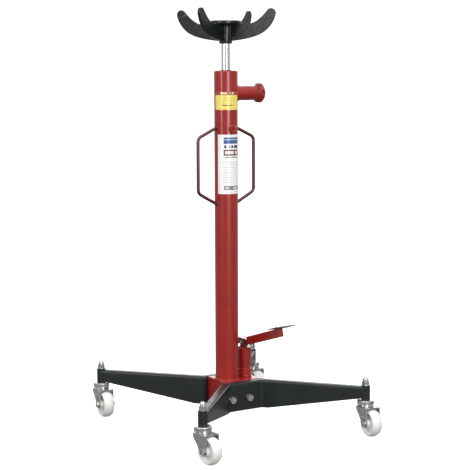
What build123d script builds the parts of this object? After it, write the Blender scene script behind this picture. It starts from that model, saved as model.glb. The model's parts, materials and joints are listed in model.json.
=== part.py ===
# Vertical hydraulic transmission jack: a foot-pumped column on a four-legged rolling base, with a
# four-horned cradle on top of its ram. Millimetres, +Z up, wheels standing on z = 0.
# The origin is the middle of the floor plan. +X points to the pedal side, where the operator stands,
# and +Y to the pump side. The column stands a little behind the origin, because the casters trail.
# The forks clear the tops of the wheels, so every height above them is written from the wheel diameter.
from build123d import *
import os
from math import asin, atan2, cos, radians, sin, sqrt, tan

os.makedirs("parts", exist_ok=True)

# ---- driving dimensions: base
column_x = -27.0          # column axis, measured from the origin
wheel_dia = 80.0
wheel_width = 32.0
caster_trail = 32.0       # axle behind the swivel axis
caster_dx = 314.0         # swivel axes, measured from the column axis
caster_y_near = -270.0
caster_y_far = 289.0
leg_width = 27.0
leg_wall = 4.0
leg_top = wheel_dia + 63.0
leg_root_bottom = wheel_dia - 22.0
leg_end_bottom = wheel_dia + 30.0
leg_face_x = 78.0         # outer face of the bolted middle, from the column axis
leg_bend_near = -39.0
leg_bend_far = 77.0
sleeve_dia = 27.0
sleeve_bottom = wheel_dia + 23.0
sleeve_top = wheel_dia + 66.0
block_bottom = wheel_dia - 20.0
block_near = -37.0
block_far = 86.0
bolt_dia = 12.0
bolt_spacing = 60.0
bolt_z = wheel_dia + 15.0

# ---- driving dimensions: column and ram
column_dia = 70.0
column_wall = 4.0
column_top = wheel_dia + 992.0
socket_depth = 15.0
filler_z = wheel_dia + 821.0          # oil filler plug on the operator's side
filler_dia = 24.0
filler_height = 6.0
filler_thread = 14.0
filler_socket = 3.5
column_label_low = wheel_dia + 628.0
column_label_high = wheel_dia + 804.0
upper_label_low = wheel_dia + 877.0
upper_label_high = wheel_dia + 931.0
cylinder_bore = 40.0
cylinder_wall = 5.0
ram_dia = 25.0
ram_foot = wheel_dia + 156.0
hub_bottom = wheel_dia + 1071.0       # underside of the cradle hub with the ram as it stands
ram_down = 75.0
ram_up = 715.0

# ---- driving dimensions: cradle
seat_top = wheel_dia + 1138.0
seat_dia = 92.0
seat_thickness = 9.0
hub_dia = 38.0
horn_thickness = 8.0
horn_reach = 149.5
horn_tip_z = wheel_dia + 1158.0
horn_tip_radius = 13.5
horn_angle = 30.7

# ---- driving dimensions: handles, valve, pump and pedal
handle_rod = 10.0
handle_reach = 96.7
handle_upper = wheel_dia + 794.0
handle_lower = wheel_dia + 631.0
handle_top = wheel_dia + 823.0
handle_foot = wheel_dia + 597.0
valve_z = wheel_dia + 925.0
valve_dia = 42.6
valve_end = 102.0
knob_dia = 60.0
knob_length = 28.0
pump_y = 64.0
pump_dia = 41.0
pump_stroke = 14.0
pump_shoulder = wheel_dia + 88.0
cap_bottom = wheel_dia + 103.0
cap_top = wheel_dia + 154.0
button_top = wheel_dia + 161.0
plunger_dia = 16.0
pivot_x = -42.0
lever_slope = 17.0
bar_height = 25.0
bar_width = 18.0
bar_start = 24.0
bar_end = 194.0
head_bottom = wheel_dia + 163.0
head_top = wheel_dia + 182.0
head_front = 34.0
plate_length = 55.0
plate_width = 66.0
plate_thickness = 3.0

# ---- clearances
running = 0.05            # radial, shaft in its bore
touch = 0.10              # between parts that are held together
swing = 0.30              # between faces that pass each other


def level(z, x=0.0, y=0.0):
    """Horizontal plane at height z over a point measured from the column axis."""
    return Plane((column_x + x, y, z))


def across(y, x=0.0, z=0.0):
    """Upright plane facing -Y: its first axis is +X, its second +Z."""
    return Plane((column_x + x, y, z), x_dir=(1, 0, 0), z_dir=(0, -1, 0))


def along(x, y=0.0, z=0.0):
    """Upright plane facing +X: its first axis is +Y, its second +Z."""
    return Plane((column_x + x, y, z), x_dir=(0, 1, 0), z_dir=(1, 0, 0))


def save(builder, name):
    builder.part.label = name
    export_step(builder.part, "parts/" + name + ".step")


# ---- derived places
block_half = leg_face_x - leg_width
column_r = column_dia / 2
column_bore_r = column_r - column_wall
ram_r = ram_dia / 2
cylinder_r = cylinder_bore / 2
cylinder_outer_r = cylinder_r + cylinder_wall
wheel_r = wheel_dia / 2
leg_mid_x = leg_face_x - leg_width / 2
miter = leg_width / 2 * tan(radians(22.5))
root_near = (leg_mid_x, leg_bend_near - miter)
root_far = (leg_mid_x, leg_bend_far + miter)
casters = [
    (caster_dx, caster_y_near),
    (caster_dx, caster_y_far),
    (-caster_dx, caster_y_near),
    (-caster_dx, caster_y_far),
]
trail_angles = (7.0, -5.0, -5.0, -5.0)   # where each caster points at rest, from +X
socket_floor = leg_top - socket_depth
cylinder_foot = socket_floor - 14
passage_z = cylinder_foot - 6
gland_bottom = column_top - 42
hub_top = seat_top - seat_thickness


# ================================ base ================================
def leg_outline(half):
    """Plan of one folded leg beam with the given half width, measured from the column axis."""
    centre = [(caster_dx, caster_y_near), root_near, root_far, (caster_dx, caster_y_far)]
    outer, inner = [], []
    for i in range(4):
        a = centre[max(i - 1, 0)]
        b = centre[i]
        c = centre[min(i + 1, 3)]
        before = atan2(b[1] - a[1], b[0] - a[0]) if i > 0 else atan2(c[1] - b[1], c[0] - b[0])
        after = atan2(c[1] - b[1], c[0] - b[0]) if i < 3 else before
        mid = (before + after) / 2
        reach = half / cos((after - before) / 2)
        outer.append((b[0] + reach * sin(mid), b[1] - reach * cos(mid)))
        inner.append((b[0] - reach * sin(mid), b[1] + reach * cos(mid)))
    return outer + inner[::-1]


def leg_taper(root, end, lift, side):
    """Upright plane along one leg, its first axis running outwards from the bend."""
    dx, dy = end[0] - root[0], end[1] - root[1]
    run = sqrt(dx * dx + dy * dy)
    ux, uy = dx / run, dy / run
    frame = Plane(
        (column_x + side * root[0], root[1], 0),
        x_dir=(side * ux, uy, 0),
        z_dir=(uy, -side * ux, 0),
    )
    slope = (leg_end_bottom - leg_root_bottom) / (run - 25)
    points = [
        (-30, leg_root_bottom + lift - 80),
        (-30, leg_root_bottom + lift),
        (25, leg_root_bottom + lift),
        (run + 40, leg_root_bottom + lift + slope * (run + 15)),
        (run + 40, leg_root_bottom + lift - 80),
    ]
    return frame, points


def leg_beam(side):
    """Boxed leg beam: a straight middle that bolts to the block, and two tapering legs."""
    with BuildPart() as beam:
        with BuildSketch(level(leg_root_bottom)):
            with BuildLine():
                Polyline([(side * x, y) for x, y in leg_outline(leg_width / 2)], close=True)
            make_face()
        extrude(amount=leg_top - leg_root_bottom)
        bends = beam.edges().filter_by(Axis.Z)
        bends = bends.filter_by(lambda e: abs(e.center().X - column_x) < leg_face_x + 5)
        fillet(bends, radius=14)
        for root, end in ((root_near, casters[0]), (root_far, casters[1])):
            frame, points = leg_taper(root, end, 0, side)
            with BuildSketch(frame):
                with BuildLine():
                    Polyline(points, close=True)
                make_face()
            extrude(amount=40, both=True, mode=Mode.SUBTRACT)
        rims = beam.faces().filter_by(Axis.Z).sort_by(Axis.Z)[-1].edges()
        rims = rims.filter_by(lambda e: abs(e.center().X - column_x) < caster_dx - 6)
        fillet(rims, radius=7)
    with BuildPart() as hollow:
        with BuildSketch(level(leg_root_bottom + leg_wall)):
            with BuildLine():
                outline = leg_outline(leg_width / 2 - leg_wall)
                Polyline([(side * x, y) for x, y in outline], close=True)
            make_face()
        extrude(amount=leg_top - leg_root_bottom - 2 * leg_wall)
        for root, end in ((root_near, casters[0]), (root_far, casters[1])):
            frame, points = leg_taper(root, end, leg_wall, side)
            with BuildSketch(frame):
                with BuildLine():
                    Polyline(points, close=True)
                make_face()
            extrude(amount=40, both=True, mode=Mode.SUBTRACT)
    with BuildPart() as finished:
        add(beam.part)
        add(hollow.part, mode=Mode.SUBTRACT)
        for x, y in ((caster_dx, caster_y_near), (caster_dx, caster_y_far)):
            with BuildSketch(level(leg_root_bottom, side * x, y)):
                Circle(sleeve_dia / 2)
            extrude(amount=leg_top, mode=Mode.SUBTRACT)
        reach = side * (block_half - 5)
        for y in (-bolt_spacing / 2, bolt_spacing / 2):
            with BuildSketch(along(reach, y, bolt_z)):
                Circle(bolt_dia / 2 + 4)
            extrude(amount=side * (leg_width + 10))
        with BuildSketch(along(side * (block_half - 12), 0, bolt_z)):
            Rectangle(bolt_spacing + 40, 60)
        extrude(amount=side * 12, mode=Mode.SUBTRACT)
        with BuildSketch(along(side * leg_face_x, 0, bolt_z)):
            Rectangle(bolt_spacing + 40, 60)
        extrude(amount=side * 20, mode=Mode.SUBTRACT)
        for y in (-bolt_spacing / 2, bolt_spacing / 2):
            with BuildSketch(along(reach, y, bolt_z)):
                Circle(bolt_dia / 2 + touch)
            extrude(amount=side * (leg_width + 10), mode=Mode.SUBTRACT)
    return finished


save(leg_beam(1), "front_leg_beam")
save(leg_beam(-1), "rear_leg_beam")

with BuildPart() as base_block:
    with BuildSketch(level(block_bottom, 0, (block_near + block_far) / 2)):
        Rectangle(2 * block_half, block_far - block_near)
    extrude(amount=leg_top - block_bottom)
    fillet(base_block.edges().filter_by(Axis.Z), radius=3)
    chamfer(base_block.faces().sort_by(Axis.Z)[-1].edges(), length=1.5)
    with BuildSketch(level(socket_floor)):
        Circle(column_r)
    extrude(amount=socket_depth, mode=Mode.SUBTRACT)
    with BuildSketch(level(cylinder_foot)):
        Circle(cylinder_outer_r)
    extrude(amount=socket_floor - cylinder_foot, mode=Mode.SUBTRACT)
    with BuildSketch(level(passage_z - 4)):
        Circle(8)
    extrude(amount=20, mode=Mode.SUBTRACT)
    with BuildSketch(level(leg_top - 24, 0, pump_y)):
        Circle(15 + touch)
    extrude(amount=24, mode=Mode.SUBTRACT)
    with BuildSketch(level(passage_z, 0, pump_y)):
        Circle(4)
    extrude(amount=20, mode=Mode.SUBTRACT)
    with BuildSketch(across(block_far, 0, passage_z)):
        Circle(4)
    extrude(amount=44, mode=Mode.SUBTRACT)
    with BuildSketch(across(block_far, 0, passage_z)):
        Circle(2.5)
    extrude(amount=block_far - 5, mode=Mode.SUBTRACT)
    for x, z in ((0, passage_z), (-28, bolt_z)):
        with BuildSketch(across(block_far, x, z)):
            Circle(8)
        extrude(amount=12, mode=Mode.SUBTRACT)
    for side in (-1, 1):
        for y in (-bolt_spacing / 2, bolt_spacing / 2):
            with BuildSketch(along(side * block_half, y, bolt_z)):
                Circle(bolt_dia / 2 + touch)
            extrude(amount=-side * 28, mode=Mode.SUBTRACT)
save(base_block, "base_block")

with BuildPart() as base_plugs:
    for x, z in ((0, passage_z), (-28, bolt_z)):
        with BuildSketch(across(block_far, x, z)):
            Circle(8 - touch)
        extrude(amount=10)
        with BuildSketch(across(block_far + 2, x, z)):
            Circle(10)
            RegularPolygon(4, 6, mode=Mode.SUBTRACT)
        extrude(amount=2)
save(base_plugs, "base_plugs")

with BuildPart() as check_balls:
    with BuildSketch(across(pump_y, 0, leg_top - 28)):
        with BuildLine():
            CenterArc((0, 0), 3.5, -90, 180)
            Line((0, 3.5), (0, -3.5))
        make_face()
    revolve(axis=Axis((column_x, pump_y, 0), (0, 0, 1)))
    with BuildSketch(across(block_far - 40, 0, passage_z)):
        with BuildLine():
            CenterArc((0, 0), 3.5, -90, 180)
            Line((0, 3.5), (0, -3.5))
        make_face()
    revolve(axis=Axis((column_x, block_far - 40, 0), (0, 0, 1)))
save(check_balls, "check_balls")

with BuildPart() as leg_bolts:
    for side in (-1, 1):
        for y in (-bolt_spacing / 2, bolt_spacing / 2):
            with BuildSketch(along(side * leg_face_x, y, bolt_z)):
                Circle(bolt_dia * 0.86)
                Circle(bolt_dia / 2 + touch, mode=Mode.SUBTRACT)
            extrude(amount=side * 2.5)
            with BuildSketch(along(side * (leg_face_x + 2.5), y, bolt_z)):
                RegularPolygon(bolt_dia * 0.79, 6, major_radius=False)
            extrude(amount=side * 7.5)
            with BuildSketch(along(side * (leg_face_x + 2.5), y, bolt_z)):
                Circle(bolt_dia / 2)
            extrude(amount=-side * (leg_width + 2.5 + 24))
save(leg_bolts, "leg_bolts")


# ================================ casters ================================
with BuildPart() as caster_sleeves:
    for x, y in casters:
        with BuildSketch(level(sleeve_bottom, x, y)):
            Circle(sleeve_dia / 2)
            Circle(8 + touch, mode=Mode.SUBTRACT)
        extrude(amount=sleeve_top - sleeve_bottom)
save(caster_sleeves, "caster_sleeves")

race_bottom = wheel_dia + 13.0
crown_top = wheel_dia + 12.5 - swing
crown_bottom = wheel_dia + 2.5

with BuildPart() as caster_stems:
    for x, y in casters:
        with BuildSketch(level(crown_bottom - 4.5, x, y)):
            Circle(10)
        extrude(amount=4.2)
        with BuildSketch(level(crown_bottom - 0.3, x, y)):
            Circle(6)
        extrude(amount=sleeve_top + 14 - crown_bottom)
        with BuildSketch(level(sleeve_bottom - 5, x, y)):
            Circle(8)
        extrude(amount=sleeve_top - sleeve_bottom + 5)
save(caster_stems, "caster_stems")

with BuildPart() as caster_races:
    for x, y in casters:
        with BuildSketch(level(sleeve_bottom - 5, x, y)):
            Circle(25)
            Circle(8 + touch, mode=Mode.SUBTRACT)
        extrude(amount=5)
        with BuildSketch(level(race_bottom - 3, x, y)):
            Circle(25)
            Circle(22.5, mode=Mode.SUBTRACT)
        extrude(amount=sleeve_bottom - race_bottom - 2)
    tops = caster_races.edges().filter_by(GeomType.CIRCLE)
    tops = tops.filter_by(lambda e: e.radius > 24 and e.center().Z > sleeve_bottom - 1)
    fillet(tops, radius=2.5)
save(caster_races, "caster_races")

with BuildPart() as stem_nuts:
    for x, y in casters:
        with BuildSketch(level(sleeve_top, x, y)):
            Circle(10.5)
            Circle(6 + touch, mode=Mode.SUBTRACT)
        extrude(amount=2.5)
        with BuildSketch(level(sleeve_top + 2.5, x, y)):
            RegularPolygon(9.5, 6, major_radius=False)
        extrude(amount=11)
        with BuildSketch(across(y, x, sleeve_top + 13.5)):
            with BuildLine():
                Polyline((0, 0), (8.6, 0), (8.6, 3.9))
                CenterArc((0, 3.9), 8.6, 0, 90)
                Line((0, 12.5), (0, 0))
            make_face()
        revolve(axis=Axis((column_x + x, y, 0), (0, 0, 1)))
        with BuildSketch(level(sleeve_top + 2.5, x, y)):
            Circle(6 + touch)
        extrude(amount=13, mode=Mode.SUBTRACT)
save(stem_nuts, "stem_nuts")

fork_inner = 20.5
fork_plate = 3.0
fork_outer = fork_inner + fork_plate
fork_back = -15.0
fork_front = 42.0
axle_r = 5.0
hub_half = fork_inner - swing


def caster_plane(x, y, angle, offset):
    """Upright plane through one caster at a distance along its axle: first axis trails, second is +Z."""
    turn = radians(angle)
    ahead = (cos(turn), sin(turn), 0)
    aside = (sin(turn), -cos(turn), 0)
    place = (column_x + x + aside[0] * offset, y + aside[1] * offset, 0)
    return Plane(place, x_dir=ahead, z_dir=aside)


def caster_fork(x, y, angle):
    """Pressed fork: a round raised crown under the race, a flat hood over the wheel, and two cheeks."""
    with BuildPart() as fork:
        with BuildSketch(caster_plane(x, y, angle, -fork_outer)):
            with BuildLine():
                Polyline(
                    (fork_back, crown_bottom),
                    (fork_front, crown_bottom),
                    (fork_front, crown_bottom + fork_plate + 1),
                    (fork_back, crown_bottom + fork_plate + 1),
                    close=True,
                )
            make_face()
        extrude(amount=2 * fork_outer)
        with BuildSketch(level(crown_bottom, x, y)):
            Circle(21.5)
        extrude(amount=crown_top - crown_bottom)
        for start in (-fork_outer, fork_inner):
            with BuildSketch(caster_plane(x, y, angle, start)):
                with BuildLine():
                    Polyline(
                        (fork_back, crown_bottom + fork_plate + 1),
                        (fork_back, crown_bottom - 8),
                        (caster_trail - 11.6, wheel_r - 5.6),
                        (caster_trail + 12.8, wheel_r - 2.0),
                        (fork_front, crown_bottom + fork_plate + 1),
                        close=True,
                    )
                make_face()
            extrude(amount=fork_plate)
            with BuildSketch(caster_plane(x, y, angle, start)):
                with BuildLine():
                    CenterArc((caster_trail, wheel_r), 12.9, 0, 360)
                make_face()
            extrude(amount=fork_plate)
        folds = fork.edges().filter_by(lambda e: abs(e.center().Z - crown_bottom - fork_plate - 1) < 0.1)
        folds = folds.filter_by(lambda e: abs(e.length - fork_front + fork_back) < 0.1)
        fillet(folds, radius=2.5)
        with BuildSketch(level(crown_bottom - 1, x, y)):
            Circle(6 + running)
        extrude(amount=20, mode=Mode.SUBTRACT)
        with BuildSketch(caster_plane(x, y, angle, -fork_outer - 1)):
            with BuildLine():
                CenterArc((caster_trail, wheel_r), axle_r + touch, 0, 360)
            make_face()
        extrude(amount=2 * fork_outer + 2, mode=Mode.SUBTRACT)
    return fork


def caster_axle(x, y, angle):
    """Axle bolt with its head outside one cheek and its nut outside the other."""
    with BuildPart() as axle:
        with BuildSketch(caster_plane(x, y, angle, -fork_outer)):
            with BuildLine():
                CenterArc((caster_trail, wheel_r), axle_r, 0, 360)
            make_face()
        extrude(amount=2 * fork_outer + 7)
        hexagon = [(8.9 * cos(radians(60 * i)), 8.9 * sin(radians(60 * i))) for i in range(6)]
        for start, height in ((-fork_outer - 6, 6), (fork_outer, 7)):
            with BuildSketch(caster_plane(x, y, angle, start)):
                with BuildLine():
                    Polyline([(caster_trail + u, wheel_r + v) for u, v in hexagon], close=True)
                make_face()
            extrude(amount=height)
    return axle


def caster_wheel(x, y, angle):
    """Nylon wheel: a crowned tread, a dished web and a long hub."""
    turn = radians(angle)
    axle_x = column_x + x + caster_trail * cos(turn)
    axle_y = y + caster_trail * sin(turn)
    aside = (sin(turn), -cos(turn), 0)
    half = wheel_width / 2
    with BuildPart() as wheel:
        profile = Plane((axle_x, axle_y, wheel_r), x_dir=aside, z_dir=(cos(turn), sin(turn), 0))
        with BuildSketch(profile):
            with BuildLine():
                Polyline(
                    (-hub_half, axle_r + running),
                    (hub_half, axle_r + running),
                    (hub_half, 12),
                    (9, 14),
                    (8, 26),
                    (half - 1, 30),
                    (half, 35),
                )
                ThreePointArc((half, 35), (0, wheel_r), (-half, 35))
                Polyline(
                    (-half, 35),
                    (-half + 1, 30),
                    (-8, 26),
                    (-9, 14),
                    (-hub_half, 12),
                    (-hub_half, axle_r + running),
                )
            make_face()
        revolve(axis=Axis((axle_x, axle_y, wheel_r), aside))
    return wheel


caster_names = ("front_near", "front_far", "rear_near", "rear_far")
for name, (x, y), angle in zip(caster_names, casters, trail_angles):
    save(caster_fork(x, y, angle), "caster_fork_" + name)
    save(caster_axle(x, y, angle), "caster_axle_" + name)
    save(caster_wheel(x, y, angle), "caster_wheel_" + name)


# ================================ column ================================
with BuildPart() as column_tube:
    with BuildSketch(level(socket_floor)):
        Circle(column_r)
    extrude(amount=column_top - socket_floor)
    fillet(column_tube.faces().sort_by(Axis.Z)[-1].edges(), radius=column_wall - 0.5)
    with BuildSketch(level(socket_floor)):
        Circle(column_bore_r)
    extrude(amount=column_top - socket_floor, mode=Mode.SUBTRACT)
    with BuildSketch(Plane((column_x, 0, valve_z), x_dir=(1, 0, 0), z_dir=(0, 1, 0))):
        Circle(10)
    extrude(amount=column_r + 5, mode=Mode.SUBTRACT)
    with BuildSketch(along(0, 0, filler_z)):
        Circle(filler_thread / 2)
    extrude(amount=column_r + 5, mode=Mode.SUBTRACT)
save(column_tube, "column_tube")

with BuildPart() as oil_filler_plug:
    with BuildSketch(along(0, 0, filler_z)):
        Circle(filler_dia / 2)
    extrude(amount=column_r + filler_height)
    chamfer(oil_filler_plug.faces().sort_by(Axis.X)[-1].edges(), length=1.5)
    with BuildSketch(level(filler_z - filler_dia)):
        Circle(column_r)
    extrude(amount=2 * filler_dia, mode=Mode.SUBTRACT)
    with BuildSketch(along(column_bore_r - 4, 0, filler_z)):
        Circle(filler_thread / 2 - touch)
    extrude(amount=filler_height + 4)
    with BuildSketch(along(column_r + filler_height - 3.5, 0, filler_z)):
        RegularPolygon(filler_socket, 6)
    extrude(amount=5, mode=Mode.SUBTRACT)
save(oil_filler_plug, "oil_filler_plug")

with BuildPart() as pressure_cylinder:
    with BuildSketch(level(cylinder_foot)):
        Circle(cylinder_outer_r)
        Circle(cylinder_r, mode=Mode.SUBTRACT)
    extrude(amount=gland_bottom - cylinder_foot)
save(pressure_cylinder, "pressure_cylinder")

with BuildPart() as gland_nut:
    with BuildSketch(level(gland_bottom)):
        Circle(column_bore_r - touch)
    extrude(amount=column_top - gland_bottom)
    with BuildSketch(level(gland_bottom - 15)):
        Circle(cylinder_r - touch)
    extrude(amount=15)
    with BuildSketch(level(gland_bottom - 15)):
        Circle(ram_r + running)
    extrude(amount=60, mode=Mode.SUBTRACT)
    with BuildSketch(level(column_top - 8)):
        Circle(18)
    extrude(amount=8, mode=Mode.SUBTRACT)
    with BuildSketch(level(column_top - 26)):
        Circle(18)
    extrude(amount=10, mode=Mode.SUBTRACT)
    with BuildSketch(level(column_top - 4)):
        with PolarLocations(24.5, 4):
            Circle(3)
    extrude(amount=4, mode=Mode.SUBTRACT)
save(gland_nut, "gland_nut")

with BuildPart() as rod_wiper:
    with BuildSketch(level(column_top - 8)):
        Circle(18 - touch)
        Circle(ram_r + running, mode=Mode.SUBTRACT)
    extrude(amount=8)
    with BuildSketch(level(column_top)):
        Circle(16)
        Circle(ram_r + running, mode=Mode.SUBTRACT)
    extrude(amount=2, taper=30)
save(rod_wiper, "rod_wiper")

with BuildPart() as gland_seal:
    with BuildSketch(level(column_top - 26 + touch)):
        Circle(18 - touch)
        Circle(ram_r + running, mode=Mode.SUBTRACT)
    extrude(amount=10 - 2 * touch)
save(gland_seal, "gland_seal")


def label_band(low, high, start_angle, end_angle):
    """Printed film wrapped part of the way round the column; angles run from +X."""
    corners = [(0, 0)]
    for k in range(5):
        a = radians(start_angle + (end_angle - start_angle) * k / 4)
        corners.append((80 * cos(a), 80 * sin(a)))
    with BuildPart() as band:
        with BuildSketch(level(low)):
            Circle(column_r + 0.3)
            Circle(column_r, mode=Mode.SUBTRACT)
            with BuildLine():
                Polyline(corners, close=True)
            make_face(mode=Mode.INTERSECT)
        extrude(amount=high - low)
    return band


save(label_band(upper_label_low, upper_label_high, -92, 43), "upper_label")
save(label_band(column_label_low, column_label_high, -75, 75), "column_label")


def handle_loop(side):
    """Bent rod loop welded to the column at both ends."""
    with BuildPart() as loop:
        with BuildLine() as path:
            Polyline(
                (column_x, side * (column_r - 6), handle_top + 3),
                (column_x, side * handle_reach, handle_upper),
                (column_x, side * handle_reach, handle_lower),
                (column_x, side * (column_r - 6), handle_foot - 3),
            )
            corners = path.vertices().filter_by(lambda v: abs(v.Y) > handle_reach - 1)
            fillet(corners, radius=18)
        start = path.line @ 0
        heading = path.line % 0
        with BuildSketch(Plane(start, z_dir=heading)):
            Circle(handle_rod / 2)
        sweep()
        with BuildSketch(level(handle_foot - 40)):
            Circle(column_r)
        extrude(amount=handle_top - handle_foot + 80, mode=Mode.SUBTRACT)
    return loop


save(handle_loop(-1), "near_handle")
save(handle_loop(1), "far_handle")


# ================================ release valve ================================
out_y = Plane((column_x, 0, valve_z), x_dir=(1, 0, 0), z_dir=(0, 1, 0))
spindle_r = 6.0

with BuildPart() as valve_housing:
    with BuildSketch(out_y.offset(20)):
        Circle(valve_dia / 2)
    extrude(amount=valve_end - 20)
    with BuildSketch(out_y.offset(20)):
        Circle(valve_dia / 2 + 3)
    extrude(amount=column_r + 4 - 20, taper=0)
    with BuildSketch(level(valve_z - 60)):
        Circle(column_r)
    extrude(amount=120, mode=Mode.SUBTRACT)
    with BuildSketch(out_y.offset(20)):
        Circle(spindle_r)
    extrude(amount=valve_end, mode=Mode.SUBTRACT)
    with BuildSketch(out_y.offset(20)):
        Circle(10)
    extrude(amount=42, mode=Mode.SUBTRACT)
    with BuildSketch(out_y.offset(valve_end - 9)):
        Circle(10)
    extrude(amount=9, mode=Mode.SUBTRACT)
save(valve_housing, "release_valve_housing")

with BuildPart() as valve_seat:
    with BuildSketch(out_y.offset(26)):
        Circle(10 - touch)
        Circle(3, mode=Mode.SUBTRACT)
    extrude(amount=16)
    with BuildSketch(out_y.offset(36)):
        Circle(spindle_r + 1)
    extrude(amount=6, mode=Mode.SUBTRACT)
save(valve_seat, "release_valve_seat")

with BuildPart() as valve_gland:
    with BuildSketch(out_y.offset(valve_end - 9)):
        Circle(10 - touch)
        Circle(spindle_r, mode=Mode.SUBTRACT)
    extrude(amount=8.5)
save(valve_gland, "release_valve_gland")

with BuildPart() as release_spindle:
    with BuildSketch(out_y.offset(40)):
        Circle(spindle_r - running)
    extrude(amount=valve_end + 14 - 40)
    with BuildSketch(out_y.offset(40)):
        Circle(spindle_r - running)
    extrude(amount=-3.5, taper=45)
    with BuildSketch(out_y.offset(valve_end + 2)):
        Circle(2.5)
    extrude(amount=20, mode=Mode.SUBTRACT)
save(release_spindle, "release_spindle")

knob_start = valve_end + 0.5
with BuildPart() as release_knob:
    with BuildSketch(along(0, 0, valve_z)):
        with BuildLine():
            Polyline(
                (knob_start, 0),
                (knob_start, valve_dia / 2),
                (knob_start + 6, knob_dia / 2 - 2),
                (knob_start + 9, knob_dia / 2),
                (knob_start + 16, knob_dia / 2),
            )
            ThreePointArc(
                (knob_start + 16, knob_dia / 2),
                (knob_start + 24, knob_dia / 2 - 9),
                (knob_start + knob_length, 8),
            )
            Polyline((knob_start + knob_length, 8), (knob_start + knob_length, 0), (knob_start, 0))
        make_face()
    revolve(axis=Axis((column_x, 0, valve_z), (0, 1, 0)))
    with BuildSketch(out_y.offset(knob_start)):
        with PolarLocations(knob_dia / 2 + 11, 8):
            Circle(13.5)
    extrude(amount=knob_length + 2, mode=Mode.SUBTRACT)
    with BuildSketch(out_y.offset(knob_start - 1)):
        Circle(spindle_r + touch)
    extrude(amount=16, mode=Mode.SUBTRACT)
    with BuildSketch(out_y.offset(knob_start)):
        Circle(3 + touch)
    extrude(amount=knob_length + 2, mode=Mode.SUBTRACT)
save(release_knob, "release_knob")

with BuildPart() as knob_screw:
    with BuildSketch(out_y.offset(knob_start + knob_length)):
        Circle(6)
    extrude(amount=4)
    with BuildSketch(out_y.offset(knob_start + knob_length + 1.5)):
        RegularPolygon(2.8, 6)
    extrude(amount=4, mode=Mode.SUBTRACT)
    with BuildSketch(out_y.offset(valve_end + 4)):
        Circle(2.4)
    extrude(amount=knob_length - 3.5)
save(knob_screw, "knob_screw")


# ================================ ram and cradle ================================
ram_top = hub_top - 4
groove_z = hub_bottom + 15

with BuildPart() as ram_rod:
    with BuildSketch(level(ram_foot)):
        Circle(ram_r)
    extrude(amount=ram_top - ram_foot)
    chamfer(ram_rod.faces().sort_by(Axis.Z)[-1].edges(), length=1.5)
    with BuildSketch(level(groove_z - 5)):
        Circle(ram_r + 1)
        Circle(ram_r - 2, mode=Mode.SUBTRACT)
    extrude(amount=10, mode=Mode.SUBTRACT)
    with BuildSketch(level(ram_foot)):
        Circle(cylinder_r - 1.5)
        Circle(ram_r - 0.5, mode=Mode.SUBTRACT)
    extrude(amount=4)
save(ram_rod, "ram_rod")

with BuildPart() as ram_seal:
    with BuildSketch(level(ram_foot + 4)):
        Circle(cylinder_r - running)
        Circle(ram_r, mode=Mode.SUBTRACT)
    extrude(amount=8)
save(ram_seal, "ram_seal")

with BuildPart() as ram_guide:
    with BuildSketch(level(ram_foot + 12)):
        Circle(cylinder_r - running)
        Circle(ram_r, mode=Mode.SUBTRACT)
    extrude(amount=30)
save(ram_guide, "ram_guide")

screw_turn = radians(horn_angle + 45)
screw_out = Plane(
    (column_x, 0, groove_z),
    x_dir=(-sin(screw_turn), cos(screw_turn), 0),
    z_dir=(cos(screw_turn), sin(screw_turn), 0),
)

with BuildPart() as saddle_hub:
    with BuildSketch(level(hub_bottom)):
        Circle(hub_dia / 2)
    extrude(amount=hub_top - hub_bottom)
    chamfer(saddle_hub.faces().sort_by(Axis.Z)[0].edges(), length=1)
    with BuildSketch(level(hub_bottom)):
        Circle(ram_r + running)
    extrude(amount=ram_top + touch - hub_bottom, mode=Mode.SUBTRACT)
    with BuildSketch(screw_out):
        Circle(3 + touch)
    extrude(amount=hub_dia, mode=Mode.SUBTRACT)
save(saddle_hub, "saddle_hub")

with BuildPart() as saddle_screw:
    with BuildSketch(screw_out.offset(ram_r - 2 + swing)):
        Circle(3)
    extrude(amount=hub_dia / 2 - 1 - (ram_r - 2 + swing))
    with BuildSketch(screw_out.offset(hub_dia / 2 - 3)):
        RegularPolygon(1.7, 6)
    extrude(amount=4, mode=Mode.SUBTRACT)
save(saddle_screw, "saddle_screw")

with BuildPart() as seat_disc:
    with BuildSketch(level(hub_top)):
        Circle(seat_dia / 2)
    extrude(amount=seat_thickness)
    chamfer(seat_disc.faces().sort_by(Axis.Z)[-1].edges(), length=1.5)
save(seat_disc, "seat_disc")


def horn(turn):
    """Horn-shaped plate standing on edge, cut from thick steel and welded to the hub."""
    a = radians(turn)
    face = Plane(
        (column_x, 0, 0),
        x_dir=(cos(a), sin(a), 0),
        z_dir=(sin(a), -cos(a), 0),
    )
    tip = (horn_reach, horn_tip_z)
    lower, middle, upper = (
        (tip[0] + horn_tip_radius * cos(radians(b)), tip[1] + horn_tip_radius * sin(radians(b)))
        for b in (-8, 68, 145)
    )
    root = hub_dia / 2 - 4
    with BuildPart() as plate:
        with BuildSketch(face.offset(-horn_thickness / 2)):
            with BuildLine():
                Line((root, hub_top), (root, hub_bottom + 7))
                Spline(
                    (root, hub_bottom + 7),
                    (43, hub_bottom + 10),
                    (85, hub_bottom + 17.5),
                    (125, hub_bottom + 33),
                    (153, hub_bottom + 61),
                    lower,
                )
                ThreePointArc(lower, middle, upper)
                Spline(upper, (116.5, seat_top + 7), (85, seat_top - 9), (66, hub_top))
                Line((66, hub_top), (root, hub_top))
            make_face()
        extrude(amount=horn_thickness)
        with BuildSketch(level(hub_bottom - 5)):
            Circle(hub_dia / 2)
        extrude(amount=100, mode=Mode.SUBTRACT)
    return plate


for i in range(4):
    save(horn(horn_angle + 90 * i), "saddle_horn_" + str(i + 1))


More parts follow.
